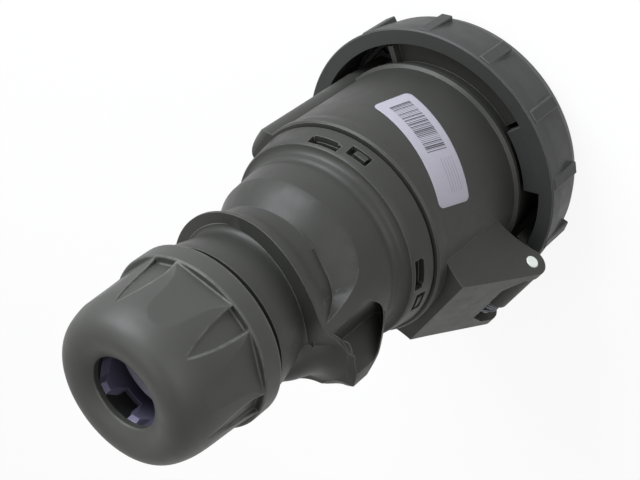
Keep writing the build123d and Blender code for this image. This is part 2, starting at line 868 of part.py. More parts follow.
def lid_spring():
    """Torsion spring on the pin, between the lid's knuckle and the far ear."""
    coil_r = pin_r + running_gap + 0.35 + lid_spring_wire / 2
    coil_width = lid_spring_turns * 1.3 * lid_spring_wire
    start_y = spring_side + 0.4 + lid_spring_wire / 2
    start, end = 214.8, 143.1
    steps = 24 * lid_spring_turns + 5
    sweep_angle = -360.0 * lid_spring_turns - (start - end)
    points = []
    for k in range(steps + 1):
        angle = radians(start + sweep_angle * k / steps)
        points.append(
            (
                -pin_offset + coil_r * cos(angle),
                start_y + coil_width * k / steps,
                pin_z + coil_r * sin(angle),
            )
        )
    path = Spline(*points)
    wire = Plane(origin=path @ 0, z_dir=path % 0) * Circle(lid_spring_wire / 2)
    body = sweep(wire, path=path, is_frenet=True)
    lid_leg = (-(path % 0).X, 0, -(path % 0).Z)
    base_leg = ((path % 1).X, 0, (path % 1).Z)
    body += rod(lid_spring_wire / 2, path @ 0, lid_leg, lid_leg_length)
    body += rod(lid_spring_wire / 2, path @ 1, base_leg, base_leg_length)
    return body


# Cable gland
def cone_radius(z, gap=0.0):
    """Radius of the nut's inner cone at a height, less a gap."""
    slope = (nut_bore_r - nut_mouth_r - cone_lip) / (cone_end - cone_start)
    return nut_bore_r - gap - slope * max(0.0, z - cone_start)


def nut_skin():
    """Outline of the nut behind its collar: a long soft dome that turns in to the sharp mouth."""
    drops = [
        (-0.4, 29.4),
        (0.1, 28.0),
        (0.8, 25.0),
        (1.2, 21.0),
        (1.5, 16.0),
        (2.0, 10.0),
        (2.9, 6.0),
        (4.5, 2.6),
        (7.0, 0.55),
        (10.5, 0.0),
        (13.6, 0.8),
    ]
    points = [(nut_body_r - drop, nut_rear - back) for drop, back in drops]
    return points + [(nut_mouth_r, nut_rear - mouth_depth)]


def leaf_recess(front):
    """Recess in a corner of the nut: a pointed leaf with a flat, inclined floor."""
    half, far = leaf_width / 2, 2 * nut_body_r
    left, right, tip = (0, -half, front), (0, half, front), (0, 0, front + leaf_length)
    bulge, middle = 0.74 * half, front + leaf_length / 2
    outline = ThreePointArc(left, (0, -bulge, middle), tip) + ThreePointArc(tip, (0, bulge, middle), right)
    leaf = extrude(make_face(outline + Line(right, left)), far, dir=(1, 0, 0))
    floor, rear = nut_body_r - leaf_floor_drop, front + leaf_length + 1
    above = [(floor, front - 1), (far, front - 1), (far, rear), (floor - 0.35, rear)]
    return leaf & side_plate(above, leaf_width)


def gland_nut():
    """Union nut: collar, six flats that fade into the dome and a leaf recess at each corner."""
    collar_end = nut_front + nut_collar_length
    skin = nut_skin()
    body = lathe(
        [(0, nut_front), (nut_collar_r - 0.8, nut_front)],
        [(nut_collar_r, nut_front + 0.8), (nut_collar_r, collar_end - 0.4)],
        [(nut_collar_r - 0.2, collar_end), (skin[0][0], collar_end)],
        skin,
        [(nut_mouth_r, nut_rear - mouth_depth), (0, nut_rear - mouth_depth)],
    )
    flat = nut_body_r - nut_flat_drop
    facet = [
        (flat, collar_end + 0.1),
        (2 * nut_body_r, collar_end + 0.1),
        (2 * nut_body_r, nut_rear - 2),
        (flat - 0.6, nut_rear - 2),
    ]
    step = 360.0 / facet_count
    for k in range(facet_count):
        body -= Rot(0, 0, facet_turn + step * (k - 0.5)) * side_plate(facet, nut_body_r)
        body -= Rot(0, 0, facet_turn + step * k) * leaf_recess(collar_end + 0.05)
    hollow = turned(
        (0, nut_front - 1),
        (nut_bore_r + 0.8, nut_front - 1),
        (nut_bore_r, nut_front + 0.6),
        (nut_bore_r, cone_start),
        (cone_radius(cone_end), cone_end),
        (nut_mouth_r, cone_end + 0.4),
        (nut_mouth_r, nut_rear + 1),
        (0, nut_rear + 1),
    )
    return body - hollow


def clamping_cage():
    """Cone with bevelled fingers that the nut's own cone presses on the cable."""
    front, tip = thread_rear + 0.1, cone_end - 0.4
    outer, tip_r = cone_radius(cone_start, cage_gap), cone_radius(tip, cage_gap)
    body = turned(
        (outer - cage_wall - 0.2, front),
        (outer, front),
        (outer, cone_start),
        (tip_r, tip),
        (tip_r - 0.7 * cage_tip_wall, tip + 0.2),
        (tip_r - cage_tip_wall, tip - 1.5),
        (outer - cage_wall, cone_start + 0.2),
        (outer - cage_wall - 0.2, cone_start),
    )
    narrow, far = finger_slot / 2, 2 * nut_body_r
    wide, bevel_r = narrow + finger_bevel, tip_r + 2 * finger_bevel
    side = [(0, wide), (tip_r, wide), (bevel_r, narrow), (far, narrow)]
    outline = side + [(x, -y) for x, y in reversed(side)]
    slot = Pos(0, 0, tip - finger_length) * make_face(Polyline(*outline, close=True))
    for k in range(cage_fingers):
        body -= Rot(0, 0, 90 + 360.0 / cage_fingers * k) * extrude(slot, 2 * finger_length)
    return body


def cable_seal():
    """Thick rubber sleeve in the spigot; its rear end lies inside the cage."""
    outer = spigot_bore_r - fixed_gap
    front, nose = flange_rear + seal_seat, cone_start + seal_nose
    return turned(
        (seal_bore_r + 1.5, front),
        (outer, front),
        (outer, thread_rear - 0.5),
        (outer - 0.5, cone_start - 0.6),
        (seal_bore_r + 2.2, nose - 0.6),
        (seal_bore_r + 1.2, nose),
        (seal_bore_r, nose - 1.0),
        (seal_bore_r, front + 3),
    )


PARTS = {
    "front_housing": front_housing,
    "handle": handle,
    "handle_seal": handle_seal,
    "contact_carrier": contact_carrier,
    "terminal_block": terminal_block,
    "terminal_screws": terminal_screws,
    "lid": lid,
    "lid_gasket": lid_gasket,
    "bayonet_ring": bayonet_ring,
    "hinge_pin": hinge_pin,
    "lid_spring": lid_spring,
    "gland_nut": gland_nut,
    "clamping_cage": clamping_cage,
    "cable_seal": cable_seal,
}

os.makedirs("parts", exist_ok=True)
for node, make in PARTS.items():
    shape = make()
    export_step(shape, f"parts/{node}.step")
    print(node, len(shape.solids()), round(shape.volume, 1))
for name, angle, pin in contact_places():
    export_step(sleeve(angle, pin), f"parts/sleeve_{name}.step")
    export_step(sleeve_spring(angle, pin), f"parts/sleeve_spring_{name}.step")
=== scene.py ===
# %% [markdown]
# # A three-phase socket connector in moulded plastic
# The solids come from a CAD model, packed as a fixed frame: every piece already has its real place and
# size. This lesson gives them their looks. It sets up the photograph's camera, a plain studio, the
# plastics, rubbers and metals, the last trims of the handle's fin, and a paper label that is rolled onto
# the barrel.

import bmesh
import bpy
import numpy as np
from mathutils import Matrix, Vector


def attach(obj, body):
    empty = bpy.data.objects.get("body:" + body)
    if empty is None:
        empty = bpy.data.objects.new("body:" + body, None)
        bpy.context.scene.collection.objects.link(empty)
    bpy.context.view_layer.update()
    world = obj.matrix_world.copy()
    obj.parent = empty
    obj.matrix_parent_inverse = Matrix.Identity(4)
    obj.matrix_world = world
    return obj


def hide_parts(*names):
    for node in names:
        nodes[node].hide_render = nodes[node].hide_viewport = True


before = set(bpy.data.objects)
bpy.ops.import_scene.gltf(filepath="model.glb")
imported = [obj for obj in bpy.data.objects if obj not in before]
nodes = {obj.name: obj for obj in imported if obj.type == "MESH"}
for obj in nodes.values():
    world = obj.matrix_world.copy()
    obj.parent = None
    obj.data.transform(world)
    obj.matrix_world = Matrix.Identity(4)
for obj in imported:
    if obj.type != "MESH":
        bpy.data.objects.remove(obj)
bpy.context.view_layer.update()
MM = 0.001

# %% [markdown]
# ## The camera
# The photograph was taken with a long lens from above and behind the cable gland. Circles on the ring,
# the collar, the flange and the nut gave the viewpoint in the connector's own frame, so the camera is
# written down as a place, a viewing direction and an up direction. A lens of 78 mm on a 36 mm sensor
# gives the weak perspective that the picture shows.

# %% Camera
CAMERA_PLACE = Vector((-51.860, -325.736, 371.213)) * MM
TO_CAMERA = Vector((-0.12113, -0.74295, 0.65830)).normalized()
CAMERA_UP = Vector((0.72569, -0.51877, -0.45194))
camera_right = CAMERA_UP.cross(TO_CAMERA).normalized()
camera_up = TO_CAMERA.cross(camera_right)
camera_data = bpy.data.cameras.new("camera")
camera_data.sensor_width = 36.0
camera_data.lens = 77.74
camera_data.clip_start = 0.01
camera_data.clip_end = 20.0
camera = bpy.data.objects.new("camera", camera_data)
bpy.context.scene.collection.objects.link(camera)
turn = Matrix((camera_right, camera_up, TO_CAMERA)).transposed().to_4x4()
camera.matrix_world = Matrix.Translation(CAMERA_PLACE) @ turn
bpy.context.scene.camera = camera
bpy.context.scene.view_settings.view_transform = "Standard"
print("camera at", [round(c, 4) for c in CAMERA_PLACE])

# %% [markdown]
# ## Nodes and colours
# A material is a small graph. Writing each link by hand hides what matters, so one helper adds a node,
# sets its values and joins its inputs. Colours are written as they look on a screen, in sRGB hex, and
# one function turns them to the linear values that light needs.

# %% Helpers for materials
def linear(hex_colour):
    """Linear RGBA of an sRGB hex colour: each channel c becomes ((c + 0.055) / 1.055) to the power 2.4."""
    srgb = np.array([int(hex_colour[k : k + 2], 16) / 255.0 for k in (1, 3, 5)])
    low = srgb / 12.92
    high = ((srgb + 0.055) / 1.055) ** 2.4
    return (*np.where(srgb <= 0.04045, low, high).tolist(), 1.0)


def add(tree, kind, values=None, links=None):
    """Adds a node; values sets its properties or sockets by name, links joins its inputs by name."""
    node = tree.nodes.new(kind)
    for name, value in (values or {}).items():
        if isinstance(name, int) or name in node.inputs.keys():
            node.inputs[name].default_value = value
        else:
            setattr(node, name, value)
    for name, source in (links or {}).items():
        tree.links.new(source, node.inputs[name])
    return node


def new_material(name):
    """Empty node material with its output node."""
    material = bpy.data.materials.new(name)
    material.use_nodes = True
    tree = material.node_tree
    tree.nodes.clear()
    return material, tree, add(tree, "ShaderNodeOutputMaterial")


# %% [markdown]
# ## The studio
# The photograph is a cut-out on white. For the camera, and for mirror or glass rays, the world is plain
# white and the floor nine tenths white, so a trace of the soft shadow under the lid stays. The light is
# large and soft: a broad key from the keyway side, which is the upper left of the picture, a weaker fill
# from the camera's side and a third lamp straight above the cable gland.

# %% Studio
# In metres: about half the connector's height, and half the floor's width.
MIDDLE = Vector((0, 0, 0.085))
FLOOR_REACH = 3.0
FLOOR_WHITE_SHARE = 0.9


def look_along(direction):
    """Rotation that turns a lamp's own -Z to a direction."""
    return Vector(direction).to_track_quat("-Z", "Y").to_matrix().to_4x4()


def softbox(name, from_direction, distance, size, power, colour="#ffffff"):
    """Rectangular lamp that shines at the middle of the connector from a direction."""
    lamp = bpy.data.lights.new(name, "AREA")
    lamp.shape = "RECTANGLE"
    lamp.size, lamp.size_y = size
    lamp.energy = power
    lamp.color = linear(colour)[:3]
    lamp_object = bpy.data.objects.new(name, lamp)
    bpy.context.scene.collection.objects.link(lamp_object)
    away = Vector(from_direction).normalized()
    lamp_object.matrix_world = Matrix.Translation(MIDDLE + away * distance) @ look_along(-away)
    print(name, "at", [round(c, 3) for c in lamp_object.location], "m,", power, "W")


def white_rays(tree):
    """1 for the rays that are to see plain white: camera, mirror and glass rays; 0 for all others."""
    rays = add(tree, "ShaderNodeLightPath").outputs
    straight = add(
        tree, "ShaderNodeMath", {"operation": "MAXIMUM"}, {0: rays["Is Camera Ray"], 1: rays["Is Glossy Ray"]}
    )
    clear = {0: straight.outputs[0], 1: rays["Is Transmission Ray"]}
    return add(tree, "ShaderNodeMath", {"operation": "MAXIMUM"}, clear).outputs[0]


softbox("key_light", (0.82, -0.52, 0.34), 0.9, (0.7, 0.7), 15.0, "#f6f8ff")
softbox("fill_light", (-0.55, -0.85, 0.35), 1.1, (0.9, 0.9), 5.0)
softbox("top_light", (0.25, -0.1, 1.0), 1.1, (0.8, 0.8), 3.5)

world = bpy.data.worlds.new("studio")
bpy.context.scene.world = world
world.use_nodes = True
sky = world.node_tree
sky.nodes.clear()
ambient = add(sky, "ShaderNodeBackground", {"Color": (1.0, 0.99, 0.96, 1.0), "Strength": 0.2})
white = add(sky, "ShaderNodeBackground", {"Color": (1.0, 1.0, 1.0, 1.0), "Strength": 1.0})
shown = add(sky, "ShaderNodeMixShader", {}, {"Fac": white_rays(sky)})
sky.links.new(ambient.outputs[0], shown.inputs[1])
sky.links.new(white.outputs[0], shown.inputs[2])
add(sky, "ShaderNodeOutputWorld", {}, {"Surface": shown.outputs[0]})

floor_mesh = bpy.data.meshes.new("floor")
corners = [(x * FLOOR_REACH, y * FLOOR_REACH, 0) for x, y in ((-1, -1), (1, -1), (1, 1), (-1, 1))]
floor_mesh.from_pydata(corners, [], [(0, 1, 2, 3)])
floor = bpy.data.objects.new("floor", floor_mesh)
bpy.context.scene.collection.objects.link(floor)
# Half a millimetre of air keeps the floor clear of the lid's flat face.
floor.location.z = -0.5 * MM
floor_material, tree, output = new_material("floor_pale_paper")
paper = add(tree, "ShaderNodeBsdfDiffuse", {"Color": linear("#f7f7f7")})
glow = add(tree, "ShaderNodeEmission", {"Color": (1, 1, 1, 1), "Strength": 1.0})
share = add(tree, "ShaderNodeMath", {"operation": "MULTIPLY", 1: FLOOR_WHITE_SHARE}, {0: white_rays(tree)})
floor_mix = add(tree, "ShaderNodeMixShader", {}, {"Fac": share.outputs[0]})
tree.links.new(paper.outputs[0], floor_mix.inputs[1])
tree.links.new(glow.outputs[0], floor_mix.inputs[2])
tree.links.new(floor_mix.outputs[0], output.inputs["Surface"])
floor_mesh.materials.append(floor_material)
print("floor:", 2 * FLOOR_REACH, "m wide, white share", FLOOR_WHITE_SHARE)

# %% [markdown]
# ## Moulded plastic
# The whole body is injection-moulded polyamide, dyed a dark grey-green. Up close such a moulding shows
# the mould's spark-eroded grain, a tone that drifts a little with the flow of the melt, and edges that
# handling has polished smoother; their paler colour is partly wear and partly a painted highlight. Every
# plastic piece shares this build, so one function makes it, and its arguments are what differs: the dye,
# the gloss and the grain. The Bevel node gives each CAD edge the small radius that every mould has, which
# is what catches a thin line of light.

# %% Moulded plastic
# How far the tone drifts to both sides of the dye.
DARKER, LIGHTER = 0.86, 1.14


def per_mm(size):
    """Texture scale at which one feature is about this many millimetres wide."""
    return 1.0 / (size * MM)


def moulded(name, dye, worn_and_highlight, roughness, shine=0.3, grain=0.45, relief=0.012, edge_radius=0.3):
    """Dyed plastic from a textured mould; the dye colours its faces, and the paler edge colour is wear and a
    painted highlight.
    """
    material, tree, output = new_material(name)
    place = add(tree, "ShaderNodeTexCoord").outputs["Object"]
    drift = add(tree, "ShaderNodeTexNoise", {"Scale": per_mm(26), "Detail": 3.0}, {"Vector": place})
    patches = add(
        tree, "ShaderNodeTexNoise", {"Scale": per_mm(5), "Detail": 5.0, "Roughness": 0.6}, {"Vector": place}
    )
    erosion = add(tree, "ShaderNodeTexNoise", {"Scale": per_mm(grain), "Detail": 2.0}, {"Vector": place})
    # The mould's own edge radius: where the rounded and the flat normal differ, there is an edge.
    rounded = add(tree, "ShaderNodeBevel", {"samples": 6, "Radius": edge_radius * MM})
    surface = add(tree, "ShaderNodeNewGeometry")
    facing = add(
        tree,
        "ShaderNodeVectorMath",
        {"operation": "DOT_PRODUCT"},
        {0: rounded.outputs["Normal"], 1: surface.outputs["Normal"]},
    )
    edge = add(
        tree,
        "ShaderNodeMapRange",
        {"From Min": 0.997, "From Max": 0.92, "To Min": 0.0, "To Max": 1.0},
        {"Value": facing.outputs["Value"]},
    )
    broken = add(
        tree,
        "ShaderNodeMapRange",
        {"From Min": 0.35, "From Max": 0.62, "To Min": 0.4, "To Max": 1.0},
        {"Value": patches.outputs["Fac"]},
    )
    # Edge mask in patches: it makes the edges smoother, and the paler colour on it is painted highlight as
    # well as wear.
    wear_and_highlight = add(
        tree, "ShaderNodeMath", {"operation": "MULTIPLY"}, {0: edge.outputs[0], 1: broken.outputs[0]}
    )
    base = np.array(linear(dye))
    darker, lighter = (*base[:3] * DARKER, 1.0), (*base[:3] * LIGHTER, 1.0)
    tone = add(
        tree, "ShaderNodeMix", {"data_type": "RGBA", 6: darker, 7: lighter}, {0: drift.outputs["Fac"]}
    )
    # The paler edge colour is a painted highlight along every edge, together with wear.
    colour = add(
        tree,
        "ShaderNodeMix",
        {"data_type": "RGBA", 7: linear(worn_and_highlight)},
        {0: wear_and_highlight.outputs[0], 6: tone.outputs[2]},
    )
    handled = add(
        tree,
        "ShaderNodeMapRange",
        {"From Min": 0.3, "From Max": 0.7, "To Min": roughness - 0.05, "To Max": roughness + 0.06},
        {"Value": patches.outputs["Fac"]},
    )
    polished = add(
        tree,
        "ShaderNodeMath",
        {"operation": "MULTIPLY_ADD", 1: -0.12},
        {0: wear_and_highlight.outputs[0], 2: handled.outputs[0]},
    )
    bump = add(
        tree,
        "ShaderNodeBump",
        {"Strength": 0.5, "Distance": relief * MM},
        {"Height": erosion.outputs["Fac"], "Normal": rounded.outputs["Normal"]},
    )
    shader = add(
        tree,
        "ShaderNodeBsdfPrincipled",
        {"IOR": 1.53, "Specular IOR Level": shine},
        {"Base Color": colour.outputs[2], "Roughness": polished.outputs[0], "Normal": bump.outputs["Normal"]},
    )
    tree.links.new(shader.outputs[0], output.inputs["Surface"])
    return material


def dress(material, *names):
    """Gives a material to CAD nodes by name."""
    for name in names:
        nodes[name].data.materials.clear()
        nodes[name].data.materials.append(material)
    print(material.name, "on", ", ".join(names))


# Polyamide, injection moulded: satin, dark, with grey-green in the light and warm grey in the shade; the
# paler edges are painted highlight and wear.
dress(moulded("polyamide_satin_moulded_housing", "#2d2e2b", "#65665f", 0.46, shine=0.25), "front_housing")
dress(moulded("polyamide_satin_moulded_handle", "#2d2e2b", "#66675f", 0.45, shine=0.25), "handle")
ring_plastic = moulded("polyamide_satin_moulded_ring", "#2f302f", "#646562", 0.50, shine=0.25, grain=0.6)
dress(ring_plastic, "bayonet_ring")
dress(moulded("polyamide_satin_moulded_lid", "#2c2d2a", "#5e5f5a", 0.50, shine=0.25), "lid")
# The nut's facets end in rounder edges, so its radius is larger.
nut_plastic = moulded(
    "polyamide_satin_moulded_nut", "#373835", "#686963", 0.47, shine=0.27, grain=0.55, edge_radius=1.0
)
dress(nut_plastic, "gland_nut")
# Natural polyamide: greyer and a little violet, glossier where the mould was polished.
cage_plastic = moulded("polyamide_grey_moulded_cage", "#77748c", "#a19eb6", 0.36, shine=0.5, relief=0.006)
dress(cage_plastic, "clamping_cage")
# Filled polyamide of the insulators: matt and almost black.
insulator = moulded("polyamide_filled_moulded_insulator", "#232322", "#4b4b49", 0.62, grain=0.7)
dress(insulator, "contact_carrier", "terminal_block")
# Acetal, turned from rod: milky, smooth, slightly waxy.
dress(moulded("acetal_natural_turned_pin", "#c4c9c3", "#dadeda", 0.34, shine=0.5, relief=0.004), "hinge_pin")

# %% [markdown]
# ## Rubber
# The seals are moulded rubber. Rubber has almost no clear gloss: its surface is rough at a scale below
# sight, with a pale bloom where additives come up. The cable seal is the softer, greyer kind.

# %% Rubber
def rubber(name, dye, bloom, roughness):
    """Matt rubber with a bloom that lies in soft patches and a fine pitted bump."""
    material, tree, output = new_material(name)
    place = add(tree, "ShaderNodeTexCoord").outputs["Object"]
    clouds = add(tree, "ShaderNodeTexNoise", {"Scale": per_mm(7), "Detail": 6.0}, {"Vector": place})
    pits = add(tree, "ShaderNodeTexVoronoi", {"Scale": per_mm(0.6)}, {"Vector": place})
    share = add(
        tree,
        "ShaderNodeMapRange",
        {"From Min": 0.45, "From Max": 0.75, "To Min": 0.0, "To Max": 0.5},
        {"Value": clouds.outputs["Fac"]},
    )
    colour = add(
        tree, "ShaderNodeMix", {"data_type": "RGBA", 6: linear(dye), 7: linear(bloom)}, {0: share.outputs[0]}
    )
    bump = add(
        tree, "ShaderNodeBump", {"Strength": 0.4, "Distance": 0.02 * MM}, {"Height": pits.outputs["Distance"]}
    )
    shader = add(
        tree,
        "ShaderNodeBsdfPrincipled",
        {"IOR": 1.52, "Roughness": roughness, "Specular IOR Level": 0.35},
        {"Base Color": colour.outputs[2], "Normal": bump.outputs["Normal"]},
    )
    tree.links.new(shader.outputs[0], output.inputs["Surface"])
    return material


# Ethylene rubber, moulded: deep black with a faint grey bloom.
dress(rubber("rubber_black_moulded_seal", "#191919", "#3a3a3b", 0.7), "lid_gasket", "handle_seal")
# Chloroprene, moulded: grey with a violet cast, smooth enough to reflect the light in the gland's mouth.
dress(rubber("rubber_grey_moulded_gland", "#8b889e", "#a6a3b8", 0.4), "cable_seal")

# %% [markdown]
# ## Metals
# The contacts are turned brass, the springs drawn steel wire and strip, the screws zinc-plated steel. A
# turned or drawn surface is a stack of fine rings, so a band pattern across the piece's length bends its
# reflections. The real rings are about 0.05 mm apart; here they are drawn 2.5 to 3 mm apart so that they
# show.

# %% Metals
# The wave texture turns by this many radians over one unit of its scaled place.
WAVE_RADIANS = 20


def worked_metal(name, fresh, dull, roughness, feed, relief):
    """Metal with tool rings along Z, 2 pi times feed mm apart; fresh and dull are its two colours."""
    material, tree, output = new_material(name)
    place = add(tree, "ShaderNodeTexCoord").outputs["Object"]
    rings = add(
        tree,
        "ShaderNodeTexWave",
        {
            "wave_type": "BANDS",
            "bands_direction": "Z",
            "Scale": per_mm(feed) / WAVE_RADIANS,
            "Distortion": 0.6,
            "Detail": 2.0,
        },
        {"Vector": place},
    )
    tarnish = add(tree, "ShaderNodeTexNoise", {"Scale": per_mm(4), "Detail": 6.0}, {"Vector": place})
    share = add(
        tree,
        "ShaderNodeMapRange",
        {"From Min": 0.42, "From Max": 0.72, "To Min": 0.0, "To Max": 0.75},
        {"Value": tarnish.outputs["Fac"]},
    )
    colour = add(
        tree, "ShaderNodeMix", {"data_type": "RGBA", 6: linear(fresh), 7: linear(dull)}, {0: share.outputs[0]}
    )
    gloss = add(
        tree, "ShaderNodeMath", {"operation": "MULTIPLY_ADD", 1: 0.22, 2: roughness}, {0: share.outputs[0]}
    )
    bump = add(
        tree, "ShaderNodeBump", {"Strength": 0.35, "Distance": relief * MM}, {"Height": rings.outputs["Fac"]}
    )
    shader = add(
        tree,
        "ShaderNodeBsdfPrincipled",
        {"Metallic": 1.0},
        {"Base Color": colour.outputs[2], "Roughness": gloss.outputs[0], "Normal": bump.outputs["Normal"]},
    )
    tree.links.new(shader.outputs[0], output.inputs["Surface"])
    return material


CONTACTS = ("pe", "l1", "l2", "l3", "n")
# Brass, turned: warm yellow, browner and duller where it has tarnished.
brass = worked_metal("brass_turned_contact", "#d9b568", "#a37f3e", 0.24, 0.4, 0.010)
dress(brass, *[f"sleeve_{name}" for name in CONTACTS])
# Spring steel, drawn and blued: dark neutral grey with darker patches.
spring_steel = worked_metal("spring_steel_drawn_clip", "#5d5e63", "#3c3d41", 0.34, 0.4, 0.006)
dress(spring_steel, "lid_spring", *[f"sleeve_spring_{name}" for name in CONTACTS])
# Steel, zinc plated: bright bluish grey with duller, greyer patches.
dress(worked_metal("steel_zinc_plated_screw", "#c3c6cb", "#9a9da3", 0.30, 0.5, 0.008), "terminal_screws")

# %% [markdown]
# ## Surfaces from numbers
# A new surface is a grid of points: rows of columns, each joined to its neighbours. The columns close round
# the piece, and a row whose points coincide becomes a pole, so the mesh has no open edge.

# %% A helper that turns a grid into a mesh
# Points closer than this, in metres, are one point.
POLE_MERGE = 1e-7


def grid_mesh(name, points, texture=None):
    """Mesh from a grid of points in mm, rows by columns by xyz, closed along its columns.

    Each point is joined to its neighbour in the row and in the next row; the texture grid holds one pair
    of surface coordinates per point. Points that coincide are merged, so the poles close.
    """
    rows, columns = points.shape[:2]
    index = np.arange(rows * columns).reshape(rows, columns)
    ahead = np.roll(index, -1, axis=1)
    faces = np.stack([index[:-1], ahead[:-1], ahead[1:], index[1:]], axis=-1).reshape(-1, 4)
    mesh = bpy.data.meshes.new(name)
    mesh.from_pydata((points.reshape(-1, 3) * MM).tolist(), [], faces.tolist())
    if texture is not None:
        layer = mesh.uv_layers.new(name="flat")
        layer.data.foreach_set("uv", texture.reshape(-1, 2)[faces.ravel()].ravel())
    edit = bmesh.new()
    edit.from_mesh(mesh)
    bmesh.ops.remove_doubles(edit, verts=edit.verts, dist=POLE_MERGE)
    bmesh.ops.recalc_face_normals(edit, faces=edit.faces)
    edit.to_mesh(mesh)
    edit.free()
    mesh.shade_smooth()
    piece = bpy.data.objects.new(name, mesh)
    bpy.context.scene.collection.objects.link(piece)
    print(name, "faces:", len(mesh.polygons))
    return piece


# %% [markdown]
# ## The end of the finger groove and the point of the fin
# The groove round the waist fades out towards the fin. In the solid the root of the fin stands about a
# millimetre out of the groove's floor there. A copy of the handle is cleared with a cutter that has the
# groove's own section: at each angle a slope from the cone's edge down to the floor, and a second slope up
# to the rim of the flange. The table gives edge, floor and rim in millimetres at a few angles, and a cubic
# through them gives the angles between. Two more cutters bring the fin to the point that it has on the real
# handle: one leaves a ridge along its back that falls to both sides, the other trims its plan to a bow.

# %% The cutters
# Degrees round Z; radius and height of the cone's edge; radius and height of the floor; height of the rim.
GROOVE = np.array(
    [
        (98.0, 29.90, 98.2, 24.0, 108.6, 121.9),
        (108.0, 29.90, 98.7, 24.0, 108.6, 122.2),
        (117.0, 29.80, 99.7, 24.1, 108.7, 122.3),
        (125.0, 29.75, 101.2, 24.3, 108.9, 122.2),
        (131.0, 29.60, 104.2, 24.7, 109.6, 121.9),
        (135.5, 29.40, 108.6, 25.6, 111.2, 121.4),
        (138.3, 29.30, 113.2, 27.0, 114.2, 121.0),
        (140.0, 29.30, 117.4, 28.8, 118.0, 120.7),
    ]
)
GROOVE_STEPS = 60
RIM_R, OUTSIDE_R = 29.4, 38.0
# How far the section runs past the edge, over the rim, and below the edge on its outer side.
PAST_EDGE, OVER_RIM, BELOW_EDGE = 0.6, 1, 3
# The cutter floats this far over the groove, and further where it begins, so that it only meets the fin.
CLEAR, CLEAR_AT_START, START_SWEEP = 0.06, 0.9, 16
# Place along the fin and height of the ridge on its back, from beyond the tip up to the neck.
RIDGE = np.array(
    [
        (-44.0, 110.4),
        (-40.4, 112.7),
        (-37.9, 113.7),
        (-34.4, 114.9),
        (-32.1, 116.1),
        (-30.3, 118.3),
        (-29.0, 121.9),
        (-28.0, 125.6),
    ]
)
RIDGE_GAP = 0.15
ROOF_X = np.linspace(-44.0, -28.5, 40)
ROOF_HALF, ROOF_TOP, ROOF_POLE = 20, 140, 132.0
# Two amounts that grow from nothing: the full amount, the place where it starts, the length of its growth.
FALL, FALL_FROM, FALL_RUN = 0.55, -29.5, 8.0
LIFT, LIFT_FROM, LIFT_RUN = 1.5, -30.5, 2.0
# Half of the bow in plan: the first five points shape the fin, the others lie outside it.
BOW_X = np.array([-40.5, -39.2, -37.7, -35.9, -33.6, -33.6, -46.0, -46.0])
BOW_Y = np.array([-0.2, 2.6, 5.1, 7.3, 9.6, 16.0, 16.0, -0.2])
BOW_LEVELS, BOW_POLE = (88.0, 119.0), (-42.0, 8.0)


def through(x, known_x, known_y):
    """Cubic through known points: Hermite pieces whose slopes come from the neighbouring points."""
    slope = np.gradient(known_y, known_x)
    k = np.clip(np.searchsorted(known_x, x) - 1, 0, len(known_x) - 2)
    width = known_x[k + 1] - known_x[k]
    t = (x - known_x[k]) / width
    start = (1 + 2 * t) * (1 - t) ** 2 * known_y[k] + t * (1 - t) ** 2 * width * slope[k]
    return start + t**2 * (3 - 2 * t) * known_y[k + 1] + t**2 * (t - 1) * width * slope[k + 1]


def with_poles(rows):
    """Adds a pole at each end: a row that repeats the mean of the first row, or of the last one."""
    first, last = (np.full((1, rows.shape[1]), rows[k].mean()) for k in (0, -1))
    return np.vstack([first, rows, last])


def groove_cutter(side):
    """Closed cutter on one side: a five-cornered section swept round Z, with a pole at each end.

    Its clearance is CLEAR + CLEAR_AT_START * (1 - angle turned / START_SWEEP) squared.
    """
    turn = np.linspace(GROOVE[0, 0], GROOVE[-1, 0], GROOVE_STEPS)
    edge_r, edge_z, floor_r, floor_z, rim_z = (through(turn, GROOVE[:, 0], GROOVE[:, k]) for k in range(1, 6))
    far = np.full_like(turn, OUTSIDE_R)
    clear = CLEAR + CLEAR_AT_START * np.clip(1 - (turn - turn[0]) / START_SWEEP, 0, 1) ** 2
    radius = with_poles(np.stack([edge_r + PAST_EDGE, floor_r + clear, RIM_R + clear, far, far], axis=-1))
    slope = (edge_z - floor_z) / (edge_r - floor_r)
    past_edge_z = edge_z + PAST_EDGE * slope + clear
    outside_z = [rim_z + OVER_RIM, edge_z - BELOW_EDGE]
    height = with_poles(np.stack([past_edge_z, floor_z, rim_z - clear, *outside_z], axis=-1))
    angle = side * np.radians(np.concatenate([turn[:1], turn, turn[-1:]]))[:, None]
    points = np.stack([radius * np.cos(angle), radius * np.sin(angle), height], axis=-1)
    return grid_mesh("groove_cutter", points)


def fin_roof_cutter():
    """Cutter behind the fin: height = ridge - fall * distance from the middle, up to a flat top.

    The fall grows from nothing at the neck to its full value near the tip, and the ridge is lifted off the
    handle where the cutter ends, so that the cutter fades out there.
    """
    ridge = through(ROOF_X, RIDGE[:, 0], RIDGE[:, 1]) + RIDGE_GAP
    ridge += LIFT * np.clip((ROOF_X - LIFT_FROM) / LIFT_RUN, 0, 1)
    fall = FALL * np.clip((FALL_FROM - ROOF_X) / FALL_RUN, 0, 1)
    eaves, top = ridge - ROOF_HALF * fall, np.full_like(ridge, ROOF_TOP)
    across = np.array([-ROOF_HALF, 0.0, ROOF_HALF, ROOF_HALF, -ROOF_HALF])
    height = np.stack([eaves, ridge, eaves, top, top], axis=-1)
    points = np.stack(np.broadcast_arrays(ROOF_X[:, None], across[None], height), axis=-1)
    ends = [np.tile((x, 0.0, ROOF_POLE), (1, 5, 1)) for x in ROOF_X[[0, -1]]]
    return grid_mesh("fin_roof_cutter", np.concatenate([ends[0], points, ends[1]]))


